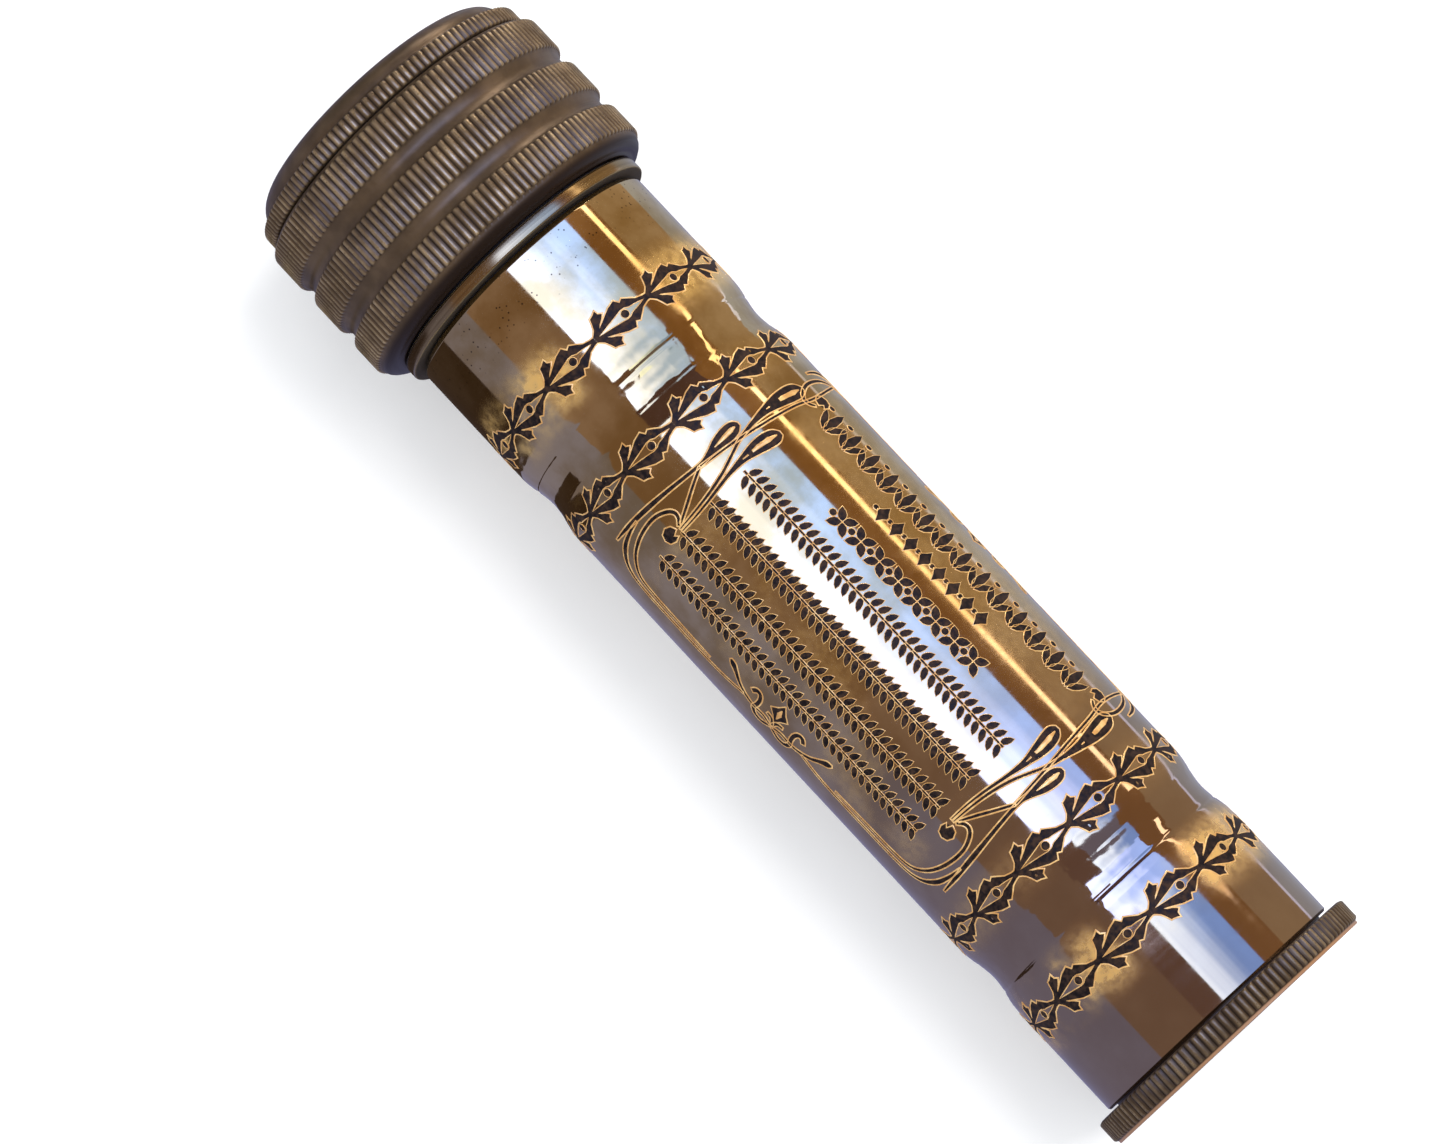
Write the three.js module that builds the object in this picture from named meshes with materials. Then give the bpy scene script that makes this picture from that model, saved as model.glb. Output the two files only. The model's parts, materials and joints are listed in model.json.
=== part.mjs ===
// A hand-held brass kaleidoscope, lying on its side.
//
// Millimetres, +Z up. The optical axis is parallel to X, with the turning head towards +X and the
// eyepiece towards -X. The origin is under the middle of the instrument, level with the lowest
// line of the head.
//
// Round pieces are turned about a local Y axis, on which a "station" is the distance from the
// eyepiece's end face. The instrument group then lays that axis along X.

import * as THREE from 'three';
import { mergeVertices } from 'three/addons/utils/BufferGeometryUtils.js';

// ---------------------------------------------------------------- driving dimensions

const LENGTH = 167;
const FACETS = 32;
const GAP = 0.3;

const TUBE_RADIUS = 19.05;
const TUBE_WALL = 1.0;
const TUBE_BORE = TUBE_RADIUS - TUBE_WALL;
const TUBE_START = 4.05;
const TUBE_END = 135.9;
const SHOULDER = 0.6;
const COVE_DEPTH = 0.75;
const COVE_HALF_WIDTH = 5.6;
const COVE_STATIONS = [26.65, 111.3];

const CAP_RADIUS = 21.35;
const CAP_RIM_RADIUS = 20.9;
const CAP_THICKNESS = 3.75;
const CAP_SPIGOT_RADIUS = TUBE_BORE - GAP;
const CAP_SPIGOT_BORE = 16.5;
const CAP_SPIGOT_END = 10;
const EYE_HOLE_RADIUS = 5;
const EYE_BOSS_RADIUS = 7.5;
const EYE_WINDOW_RADIUS = 9;
const EYE_WINDOW_START = 2.6;
const EYE_WINDOW_THICKNESS = 1.5;
const EYE_POCKET_END = 6;
const EYE_POCKET_WALL = 2.2;

const COLLAR_RADIUS = 20.3;
const COLLAR_START = 136.2;
const COLLAR_END = 138;
const BUSH_START = 126;
const BUSH_BORE = 16.3;
const JOURNAL_RADIUS = 19.2;
const JOURNAL_END = 146;
const NOSE_RADIUS = 18.2;
const NOSE_END = 148.8;

const HEAD_RADIUS = 23.35;
const HEAD_START = 138.35;
const HEAD_END = 161.1;
const HEAD_NECK_RADIUS = 20.5;
const HEAD_LANDS = [[140.3, 144.8], [147.7, 152.65], [155.55, 160.5]];
const HEAD_GROOVE_DEPTH = 1.0;
const HEAD_BORE = JOURNAL_RADIUS + GAP;
const RETAINER_RADIUS = 20.3;
const RETAINER_POCKET = RETAINER_RADIUS + GAP;
const RETAINER_POCKET_END = 149.2;
const CELL_BORE = 21.1;

const BEZEL_RADIUS = 22.25;
const BEZEL_START = HEAD_END + GAP;
const BEZEL_LAND_END = 164;
const BEZEL_FACE_RADIUS = 17.2;
const BEZEL_SPIGOT_START = 155.5;
const BEZEL_SPIGOT_RADIUS = CELL_BORE - GAP;
const BEZEL_BORE = 19.8;
const BEZEL_LIP_START = 166.1;
const WINDOW_RADIUS = 16.6;

const BACK_GLASS_RADIUS = BEZEL_SPIGOT_RADIUS;
const BACK_GLASS_START = RETAINER_POCKET_END + GAP;
const FRONT_GLASS_RADIUS = BEZEL_BORE - GAP;
const FRONT_GLASS_START = 164.2;
const CHAMBER_GLASS_THICKNESS = 1.5;
const CHAMBER_START = BACK_GLASS_START + CHAMBER_GLASS_THICKNESS;
const CHAMBER_END = FRONT_GLASS_START;
const CHAMBER_RADIUS = 18.5;

const MIRROR_WIDTH = 23.7;
const MIRROR_THICKNESS = 1.8;
const MIRROR_INRADIUS = 7;
const MIRROR_START = 14;
const MIRROR_END = 148.4;
const MIRROR_COUNT = 3;
const SLEEVE_BORE = 16.5;
const SLEEVE_RADIUS = 17;
const SLEEVE_START = 12.5;
const SLEEVE_END = BUSH_START - GAP;
const SPACER_RADIUS = 16;
const SPACER_THICKNESS = 3;
const FRONT_SPACER_START = 144;
const REAR_SPACER_START = 20;
const MASK_RADIUS = SLEEVE_BORE - GAP;
const MASK_START = 12.9;
const MASK_THICKNESS = 0.7;

// ---------------------------------------------------------------- materials

function metal(color, roughness) {
  return new THREE.MeshStandardMaterial({ color, roughness, metalness: 1 });
}

function plain(color, roughness) {
  return new THREE.MeshStandardMaterial({ color, roughness, metalness: 0 });
}

function glass(color, opacity, roughness) {
  return new THREE.MeshStandardMaterial({
    color, opacity, roughness, metalness: 0, transparent: true,
  });
}

const POLISHED_BRASS = metal(0xb48f4e, 0.16);
const BRONZED_BRASS = metal(0x6a594b, 0.42);
const MIRROR_SILVER = metal(0xdfe4e6, 0.04);
const CLEAR_GLASS = glass(0xe8f2f0, 0.3, 0.05);
const FROSTED_GLASS = glass(0xf1f4f2, 0.6, 0.5);
const BLACK_CARD = plain(0x1b1a19, 0.9);
const KRAFT_CARD = plain(0x8f6d48, 0.88);
const BLACK_FIBRE = plain(0x26221f, 0.8);

// ---------------------------------------------------------------- helpers

/** A closed body that keeps only its corner points, shared between its faces. */
function closedBody(geometry) {
  const body = geometry.clone();
  body.deleteAttribute('normal');
  body.deleteAttribute('uv');
  const merged = mergeVertices(body, 1e-5);
  merged.computeVertexNormals();
  return merged;
}

function piece(name, geometry, material) {
  const mesh = new THREE.Mesh(closedBody(geometry), material);
  mesh.name = name;
  return mesh;
}

/**
 * Turns an outline of [radius, station] pairs about the axis. The outline runs out along the
 * rear face, forward along the outside, and back through the bore. Every radius is the distance
 * to the flats, so that opposite flats measure the real diameter.
 */
function turned(name, outline, material) {
  const flatToCorner = 1 / Math.cos(Math.PI / FACETS);
  const points = outline.map(([radius, station]) => {
    return new THREE.Vector2(radius * flatToCorner, station);
  });
  if (outline[0][0] > 0) {
    points.push(points[0].clone());
  }
  const geometry = new THREE.LatheGeometry(points, FACETS, Math.PI / FACETS, 2 * Math.PI);
  return piece(name, geometry, material);
}

function disc(name, radius, start, thickness, material) {
  const end = start + thickness;
  return turned(name, [[0, start], [radius, start], [radius, end], [0, end]], material);
}

function ring(name, bore, radius, start, end, material) {
  return turned(name, [[bore, start], [radius, start], [radius, end], [bore, end]], material);
}

/** Points of a smooth hollow run round the tube, from its rear edge to its front edge. */
function cove(radius, depth, centre, halfWidth, steps) {
  const points = [];
  for (let i = 0; i <= steps; i += 1) {
    const t = (2 * i) / steps - 1;
    const dip = Math.cos((t * Math.PI) / 2) ** 2;
    points.push([radius - depth * dip, centre + t * halfWidth]);
  }
  return points;
}

/** Points of a quarter ellipse from one [radius, station] to another. */
function quarterRound(from, to, steps) {
  const points = [];
  for (let i = 0; i <= steps; i += 1) {
    const angle = (i / steps) * (Math.PI / 2);
    const radius = to[0] + (from[0] - to[0]) * Math.cos(angle);
    const station = from[1] + (to[1] - from[1]) * Math.sin(angle);
    points.push([radius, station]);
  }
  return points;
}

/** A flat plate of the given outline and hole, square to the axis. */
function plate(name, outline, hole, start, thickness, material) {
  outline.holes.push(hole);
  const geometry = new THREE.ExtrudeGeometry(outline, { depth: thickness, bevelEnabled: false });
  geometry.rotateX(-Math.PI / 2);
  geometry.translate(0, start, 0);
  return piece(name, geometry, material);
}

function circleShape(radius) {
  const points = [];
  for (let i = 0; i < FACETS; i += 1) {
    const angle = ((i + 0.5) * 2 * Math.PI) / FACETS;
    points.push(new THREE.Vector2(radius * Math.cos(angle), radius * Math.sin(angle)));
  }
  return new THREE.Shape(points);
}

/** The direction in which a mirror's back faces, as an angle from the upright +Z. */
function mirrorAngle(index) {
  return Math.PI + (index * 2 * Math.PI) / MIRROR_COUNT;
}

/** A corner of the mirror prism, across the width and away from the axis, in a plate's plane. */
function prismCorner(index, across, away) {
  const angle = mirrorAngle(index);
  const x = Math.sin(angle) * away + Math.cos(angle) * across;
  const z = Math.cos(angle) * away - Math.sin(angle) * across;
  return new THREE.Vector2(x, -z);
}

// ---------------------------------------------------------------- body and eyepiece

function tube() {
  const outside = COVE_STATIONS.flatMap((station) => {
    return cove(TUBE_RADIUS, COVE_DEPTH, station, COVE_HALF_WIDTH, 8);
  });
  const inside = COVE_STATIONS.flatMap((station) => {
    return cove(TUBE_BORE, COVE_DEPTH, station, COVE_HALF_WIDTH, 4);
  });
  return turned('tube', [
    [TUBE_BORE, TUBE_START],
    [TUBE_RADIUS, TUBE_START],
    ...outside,
    [TUBE_RADIUS, TUBE_END - SHOULDER],
    [TUBE_RADIUS - SHOULDER, TUBE_END],
    [TUBE_BORE, TUBE_END],
    ...inside.reverse(),
  ], POLISHED_BRASS);
}

function eyepieceCap() {
  const rim = 0.35;
  const land = 0.75;
  const field = 0.6;
  const pocketRadius = EYE_WINDOW_RADIUS + GAP;
  const pocketStart = EYE_WINDOW_START - GAP;
  const pocketOutside = pocketRadius + EYE_POCKET_WALL;
  return turned('eyepiece_cap', [
    [EYE_HOLE_RADIUS, rim],
    [EYE_BOSS_RADIUS, rim],
    [EYE_BOSS_RADIUS + field, field],
    [CAP_SPIGOT_BORE, field],
    [CAP_SPIGOT_RADIUS - GAP, 0],
    [CAP_RIM_RADIUS, 0],
    [CAP_RIM_RADIUS, rim],
    [CAP_RADIUS, land],
    [CAP_RADIUS, CAP_THICKNESS - rim],
    [CAP_RIM_RADIUS, CAP_THICKNESS],
    [CAP_SPIGOT_RADIUS, CAP_THICKNESS],
    [CAP_SPIGOT_RADIUS, CAP_SPIGOT_END],
    [CAP_SPIGOT_BORE, CAP_SPIGOT_END],
    [CAP_SPIGOT_BORE, CAP_THICKNESS],
    [pocketOutside, CAP_THICKNESS],
    [pocketOutside, EYE_POCKET_END],
    [pocketRadius, EYE_POCKET_END],
    [pocketRadius, pocketStart],
    [EYE_HOLE_RADIUS, pocketStart],
  ], BRONZED_BRASS);
}

function eyepieceParts() {
  const windowEnd = EYE_WINDOW_START + EYE_WINDOW_THICKNESS;
  const bore = EYE_BOSS_RADIUS;
  return [
    eyepieceCap(),
    disc('eye_window', EYE_WINDOW_RADIUS, EYE_WINDOW_START, EYE_WINDOW_THICKNESS, CLEAR_GLASS),
    ring('eye_window_ring', bore, EYE_WINDOW_RADIUS, windowEnd + GAP, EYE_POCKET_END, BRONZED_BRASS),
  ];
}

// ---------------------------------------------------------------- mirror prism

function mirror(index) {
  const length = MIRROR_END - MIRROR_START;
  const geometry = new THREE.BoxGeometry(MIRROR_WIDTH, length, MIRROR_THICKNESS);
  geometry.translate(0, MIRROR_START + length / 2, MIRROR_INRADIUS + MIRROR_THICKNESS / 2);
  geometry.rotateY(mirrorAngle(index));
  return piece(`mirror_${index + 1}`, geometry, MIRROR_SILVER);
}

function mirrorSpacer(name, start) {
  const across = MIRROR_WIDTH / 2 + GAP;
  const away = MIRROR_INRADIUS + MIRROR_THICKNESS + GAP;
  const corners = [];
  for (let index = 0; index < MIRROR_COUNT; index += 1) {
    corners.push(prismCorner(index, -across, away), prismCorner(index, across, away));
  }
  return plate(name, circleShape(SPACER_RADIUS), new THREE.Path(corners),
    start, SPACER_THICKNESS, BLACK_CARD);
}

function eyeMask() {
  const away = MIRROR_INRADIUS - GAP;
  const across = away * Math.tan(Math.PI / MIRROR_COUNT);
  const corners = [];
  for (let index = 0; index < MIRROR_COUNT; index += 1) {
    corners.push(prismCorner(index, across, away));
  }
  return plate('eye_mask', circleShape(MASK_RADIUS), new THREE.Path(corners),
    MASK_START, MASK_THICKNESS, BLACK_CARD);
}

function mirrorParts() {
  const mirrors = [];
  for (let index = 0; index < MIRROR_COUNT; index += 1) {
    mirrors.push(mirror(index));
  }
  return [
    ...mirrors,
    ring('mirror_sleeve', SLEEVE_BORE, SLEEVE_RADIUS, SLEEVE_START, SLEEVE_END, KRAFT_CARD),
    mirrorSpacer('mirror_spacer_front', FRONT_SPACER_START),
    mirrorSpacer('mirror_spacer_rear', REAR_SPACER_START),
    eyeMask(),
  ];
}

// ---------------------------------------------------------------- head bearing

function headBush() {
  const edge = 0.3;
  return turned('head_bush', [
    [BUSH_BORE, BUSH_START],
    [CAP_SPIGOT_RADIUS, BUSH_START],
    [CAP_SPIGOT_RADIUS, COLLAR_START],
    [COLLAR_RADIUS - edge, COLLAR_START],
    [COLLAR_RADIUS, COLLAR_START + edge],
    [COLLAR_RADIUS, COLLAR_END - edge],
    [COLLAR_RADIUS - edge, COLLAR_END],
    [JOURNAL_RADIUS, COLLAR_END],
    [JOURNAL_RADIUS, JOURNAL_END],
    [NOSE_RADIUS, JOURNAL_END],
    [NOSE_RADIUS, NOSE_END],
    [BUSH_BORE, NOSE_END],
  ], POLISHED_BRASS);
}

function bearingParts() {
  const bore = NOSE_RADIUS + GAP;
  const washerStart = JOURNAL_END + GAP;
  const washerEnd = washerStart + 0.6;
  return [
    headBush(),
    ring('friction_washer', bore, RETAINER_RADIUS, washerStart, washerEnd, BLACK_FIBRE),
    ring('retaining_ring', bore, RETAINER_RADIUS, washerEnd + GAP, NOSE_END, POLISHED_BRASS),
  ];
}

// ---------------------------------------------------------------- turning head

function headBarrel() {
  const [[firstLand]] = HEAD_LANDS;
  const outside = [];
  HEAD_LANDS.slice(1).forEach(([start], index) => {
    const previousEnd = HEAD_LANDS[index][1];
    const centre = (previousEnd + start) / 2;
    const halfWidth = (start - previousEnd) / 2;
    outside.push(...cove(HEAD_RADIUS, HEAD_GROOVE_DEPTH, centre, halfWidth, 4));
  });
  const tail = quarterRound([HEAD_RADIUS, firstLand], [HEAD_NECK_RADIUS, HEAD_START + GAP], 4);
  return turned('head_barrel', [
    [HEAD_BORE, HEAD_START],
    [HEAD_NECK_RADIUS, HEAD_START],
    ...tail.reverse(),
    ...outside,
    [HEAD_RADIUS, HEAD_LANDS[2][1]],
    [BEZEL_RADIUS, HEAD_END],
    [CELL_BORE, HEAD_END],
    [CELL_BORE, RETAINER_POCKET_END],
    [RETAINER_POCKET, RETAINER_POCKET_END],
    [RETAINER_POCKET, JOURNAL_END],
    [HEAD_BORE, JOURNAL_END],
  ], BRONZED_BRASS);
}

function bezel() {
  const front = quarterRound([BEZEL_RADIUS, BEZEL_LAND_END], [BEZEL_FACE_RADIUS, LENGTH], 5);
  return turned('bezel', [
    [BEZEL_BORE, BEZEL_SPIGOT_START],
    [BEZEL_SPIGOT_RADIUS, BEZEL_SPIGOT_START],
    [BEZEL_SPIGOT_RADIUS, BEZEL_START],
    [BEZEL_RADIUS, BEZEL_START],
    ...front,
    [WINDOW_RADIUS, LENGTH],
    [WINDOW_RADIUS, BEZEL_LIP_START],
    [BEZEL_BORE, BEZEL_LIP_START],
  ], BRONZED_BRASS);
}

function headParts() {
  const thickness = CHAMBER_GLASS_THICKNESS;
  const ringStart = CHAMBER_START + GAP;
  const ringEnd = CHAMBER_END - GAP;
  const ringRadius = FRONT_GLASS_RADIUS;
  return [
    headBarrel(),
    bezel(),
    disc('chamber_back_glass', BACK_GLASS_RADIUS, BACK_GLASS_START, thickness, CLEAR_GLASS),
    ring('chamber_ring', CHAMBER_RADIUS, ringRadius, ringStart, ringEnd, POLISHED_BRASS),
    disc('chamber_front_glass', FRONT_GLASS_RADIUS, FRONT_GLASS_START, thickness, FROSTED_GLASS),
  ];
}

// ---------------------------------------------------------------- loose coloured glass

const CHARGE_SHAPES = {
  bead: () => new THREE.IcosahedronGeometry(2.3, 1),
  crystal: () => new THREE.OctahedronGeometry(2.9, 0),
  rod: () => new THREE.CylinderGeometry(1.3, 1.3, 5.4, 8),
  chip: () => new THREE.CylinderGeometry(2.9, 2.6, 1.8, 3),
  tile: () => new THREE.CylinderGeometry(2.8, 2.8, 1.7, 4),
  cane: () => new THREE.CylinderGeometry(2.3, 2.3, 2.6, 10),
  star: () => starGeometry(5, 3, 1.4, 1.8),
};

function starGeometry(points, radius, waist, thickness) {
  const outline = [];
  for (let i = 0; i < 2 * points; i += 1) {
    const reach = i % 2 === 0 ? radius : waist;
    const angle = (i * Math.PI) / points;
    outline.push(new THREE.Vector2(reach * Math.cos(angle), reach * Math.sin(angle)));
  }
  const shape = new THREE.Shape(outline);
  return new THREE.ExtrudeGeometry(shape, { depth: thickness, bevelEnabled: false }).center();
}

// Each loose piece: name, shape, colour, degrees round from the lowest line, distance from the
// axis, distance into the chamber, and its own turns in degrees.
const CHARGE = [
  ['glass_bead_ruby', 'bead', 0xb3142a, -52, 15.7, 3.4, 0, 0],
  ['glass_cane_sky', 'cane', 0x4aa3d8, -50, 15.5, 9.6, 20, 70],
  ['glass_tile_amber', 'tile', 0xd98a1c, -27, 16.4, 3.6, 10, 4],
  ['glass_rod_violet', 'rod', 0x6a35a8, -25, 16.2, 9.7, 84, 8],
  ['glass_crystal_green', 'crystal', 0x1f8a4c, -3, 15.0, 3.6, 30, 0],
  ['glass_bead_cobalt', 'bead', 0x1e3fb4, -2, 15.7, 9.9, 0, 0],
  ['glass_star_rose', 'star', 0xd94f7c, 24, 15.9, 3.4, 20, 60],
  ['glass_chip_turquoise', 'chip', 0x1fa7a0, 25, 16.2, 9.8, 6, 10],
  ['glass_cane_gold', 'cane', 0xe0b02a, 49, 15.7, 3.6, 8, 80],
  ['glass_chip_scarlet', 'chip', 0xc9341f, 50, 16.0, 9.7, 12, 14],
  ['glass_rod_emerald', 'rod', 0x2aa35a, -38, 9.8, 6.4, 80, 30],
  ['glass_bead_pearl', 'bead', 0xe9e2d2, -8, 9.4, 4.0, 0, 0],
  ['glass_tile_indigo', 'tile', 0x3a2f8f, -6, 10.0, 10.0, 22, 20],
  ['glass_crystal_topaz', 'crystal', 0xe0761c, 30, 9.7, 6.6, 40, 0],
];

function loosePiece([name, shape, color, around, distance, depth, turn, tip]) {
  const angle = THREE.MathUtils.degToRad(180 + around);
  const mesh = piece(name, CHARGE_SHAPES[shape](), glass(color, 0.8, 0.08));
  const holder = new THREE.Group();
  holder.rotation.y = angle;
  mesh.position.set(0, CHAMBER_START + depth, distance);
  mesh.rotation.set(THREE.MathUtils.degToRad(90 + tip), 0, THREE.MathUtils.degToRad(turn));
  holder.add(mesh);
  return holder;
}

// ---------------------------------------------------------------- assembly

const instrument = new THREE.Group();
instrument.add(
  tube(),
  ...eyepieceParts(),
  ...mirrorParts(),
  ...bearingParts(),
  ...headParts(),
  ...CHARGE.map(loosePiece),
);
instrument.rotation.z = -Math.PI / 2;
instrument.position.set(-LENGTH / 2, 0, HEAD_RADIUS);

const group = new THREE.Group();
group.add(instrument);

export default group;
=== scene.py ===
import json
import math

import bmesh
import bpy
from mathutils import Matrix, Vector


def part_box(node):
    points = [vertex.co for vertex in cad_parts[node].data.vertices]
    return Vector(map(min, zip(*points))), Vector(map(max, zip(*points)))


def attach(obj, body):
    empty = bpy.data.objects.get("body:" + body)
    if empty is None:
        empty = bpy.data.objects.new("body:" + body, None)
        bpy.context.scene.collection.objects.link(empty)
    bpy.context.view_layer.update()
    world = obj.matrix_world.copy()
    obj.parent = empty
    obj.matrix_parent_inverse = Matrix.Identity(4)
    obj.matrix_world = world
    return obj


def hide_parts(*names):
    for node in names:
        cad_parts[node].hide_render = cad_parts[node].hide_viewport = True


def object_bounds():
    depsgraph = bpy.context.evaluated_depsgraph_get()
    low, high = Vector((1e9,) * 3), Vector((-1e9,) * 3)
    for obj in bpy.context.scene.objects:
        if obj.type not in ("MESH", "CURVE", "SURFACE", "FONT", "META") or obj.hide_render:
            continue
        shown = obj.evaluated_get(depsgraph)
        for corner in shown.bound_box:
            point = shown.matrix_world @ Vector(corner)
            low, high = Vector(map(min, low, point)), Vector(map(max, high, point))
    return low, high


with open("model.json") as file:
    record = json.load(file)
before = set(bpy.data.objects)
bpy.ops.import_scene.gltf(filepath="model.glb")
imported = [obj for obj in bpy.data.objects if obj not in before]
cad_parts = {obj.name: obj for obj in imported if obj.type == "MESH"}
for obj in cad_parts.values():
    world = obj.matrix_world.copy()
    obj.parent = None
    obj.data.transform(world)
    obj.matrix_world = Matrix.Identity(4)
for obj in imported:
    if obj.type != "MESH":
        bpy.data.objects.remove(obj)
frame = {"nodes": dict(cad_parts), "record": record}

# The looks of a hand-held brass kaleidoscope that lies on its side.
#
# The optical axis runs along X. A "station" is a distance in millimetres from the eyepiece's end
# face, towards the turning head. An "arc" is a distance in millimetres round the tube's skin from
# the engraving's middle line, upwards in the picture. Radii are in millimetres too.

MM = 0.001

# ---- sizes

CAD_LOW, CAD_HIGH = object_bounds()
TUBE_LOW, TUBE_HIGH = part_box("tube")
AXIS_HEIGHT = (TUBE_LOW.z + TUBE_HIGH.z) / 2
AXIS = Vector((0, 0, AXIS_HEIGHT))


def ends(node):
    """The stations at which a CAD node starts and ends."""
    low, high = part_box(node)
    return (low.x - CAD_LOW.x) / MM, (high.x - CAD_LOW.x) / MM


def reach(node):
    """The outer radius of a round CAD node on the axis."""
    low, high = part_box(node)
    return (high.y - low.y) / 2 / MM


TUBE_RADIUS = reach("tube")
TUBE_BORE = TUBE_RADIUS - 1.0
TUBE_START, TUBE_END = ends("tube")
COVE_DEPTH = 0.75
COVE_HALF_WIDTH = 5.6
REAR_COVE, FRONT_COVE = 26.65, 111.3
# Fine lines that the rolling tool left: station, depth, half width.
TOOL_LINES = [(24.5, 0.1, 0.28), (29.2, 0.03, 0.35), (109.3, 0.03, 0.35), (114.2, 0.1, 0.28)]

# The polished flange of the bush, between the tube and the head, and the gap after it, painted dark as
# shade.
COLLAR_START, COLLAR_END = 136.2, 138.0
TAIL_GAP = 138.6

HEAD_RADIUS = reach("head_barrel")
HEAD_START, HEAD_END = ends("head_barrel")
HEAD_LANDS = [(140.3, 144.8), (147.7, 152.65), (155.55, 160.5)]
HEAD_GROOVE = 1.0
HEAD_RIBS = 130
JOURNAL_END = 146.0
BEZEL_RADIUS = 22.25

EYE_FACE = 0.0
CAP_MIDDLE = 2.0
CAP_RADIUS = reach("eyepiece_cap")
CAP_LAND = (0.6, 3.55)
CAP_RIBS = 120

RIB_DEPTH = 0.36
# A groove's half width, as a share of the ribs' pitch.
GROOVE_SHARE = 0.34
SEGMENTS_PER_RIB = 4
# How far a knurled band stands above the smooth metal beside it, and how wide its foot is.
BAND_HEIGHT = RIB_DEPTH + 0.16
BAND_FOOT = 0.1
# How far under a band's radius a point still takes its ribs.
BAND_SKIN = 0.3

# ---- mesh helpers


def on_ring(radius, station, angle):
    """A point at an angle from the upright, turning towards -Y."""
    x = CAD_LOW.x + station * MM
    y = -radius * math.sin(angle) * MM
    z = AXIS_HEIGHT + radius * math.cos(angle) * MM
    return x, y, z


def show(name, data):
    """A new object in the scene."""
    item = bpy.data.objects.new(name, data)
    bpy.context.scene.collection.objects.link(item)
    return item


def show_mesh(name, work, mesh, sharp_angle=None):
    """Fills a mesh from a bmesh, smooth but for edges over the sharp angle, and shows it."""
    work.to_mesh(mesh)
    work.free()
    mesh.polygons.foreach_set("use_smooth", [True] * len(mesh.polygons))
    if sharp_angle:
        mesh.set_sharp_from_angle(angle=math.radians(sharp_angle))
    return show(name, mesh)


def make_object(name, points, faces, sharp_angle=None):
    mesh = bpy.data.meshes.new(name)
    mesh.from_pydata(points, [], faces)
    work = bmesh.new()
    work.from_mesh(mesh)
    bmesh.ops.recalc_face_normals(work, faces=work.faces)
    return show_mesh(name, work, mesh, sharp_angle)


def eased(corners, steps=3):
    """A closed outline of (radius, station) from corners that may give a third value, the ease."""
    points = []
    for index, (radius, station, *ease) in enumerate(corners):
        here = Vector((radius, station))
        if not ease:
            points.append((radius, station))
            continue
        before = Vector(corners[index - 1][:2]) - here
        after = Vector(corners[(index + 1) % len(corners)][:2]) - here
        start = here + before.normalized() * min(ease[0], before.length / 2)
        end = here + after.normalized() * min(ease[0], after.length / 2)
        for step in range(steps + 1):
            t = step / steps
            points.append(tuple(start * (1 - t) ** 2 + here * 2 * t * (1 - t) + end * t ** 2))
    return points


def turned(name, outline, segments, sharp_angle=35, cut=None, floor=0.0):
    """A closed outline turned about the axis.

    cut says how deep a groove is at a radius, a station and a share of a turn. The attribute
    "worn" is one on crests, nothing in grooves, and half under the floor, where no thumb rubs."""
    points, faces, worn, rings = [], [], [], []
    for radius, station in outline:
        if radius == 0:
            rings.append([len(points)] * segments)
            points.append(on_ring(0, station, 0))
            worn.append(1.0)
            continue
        rings.append(list(range(len(points), len(points) + segments)))
        for step in range(segments):
            turn = step / segments
            depth = cut(radius, station, turn) if cut else 0.0
            points.append(on_ring(radius - depth, station, turn * 2 * math.pi))
            worn.append(1 - min(1.0, depth / RIB_DEPTH) if radius >= floor else 0.5)
    for here, there in zip(rings, rings[1:] + rings[:1]):
        for step in range(segments):
            following = (step + 1) % segments
            corners = [here[step], here[following], there[following], there[step]]
            corners = list(dict.fromkeys(corners))
            if len(corners) > 2:
                faces.append(corners)
    piece = make_object(name, points, faces, sharp_angle)
    field = piece.data.attributes.new("worn", "FLOAT", "POINT")
    field.data.foreach_set("value", worn)
    return piece


def knurled(name, outline, radius, count, bands):
    """A turned piece with straight ribs cut into its bands, which all have one radius."""
    floor = radius - BAND_SKIN

    def cut(radius, station, turn):
        if radius < floor or not any(start <= station <= end for start, end in bands):
            return 0.0
        from_groove = abs((turn * count + 0.5) % 1 - 0.5)
        return RIB_DEPTH * max(0.0, 1 - from_groove / GROOVE_SHARE)

    return turned(name, outline, count * SEGMENTS_PER_RIB, 62, cut, floor)


def quarter(start, end, steps):
    """A quarter of an oval between two (radius, station) points. It sets off along the radius."""
    points = []
    for step in range(steps + 1):
        angle = step / steps * math.pi / 2
        radius = start[0] + (end[0] - start[0]) * math.sin(angle)
        points.append((radius, start[1] + (end[1] - start[1]) * (1 - math.cos(angle))))
    return points


def install(piece, body, slot, *nodes):
    """Puts a finished piece on its body, in place of the CAD nodes it stands for. The slot is not used.
    """
    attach(piece, body)
    if nodes:
        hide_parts(*nodes)


# ---- shader helpers


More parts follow.
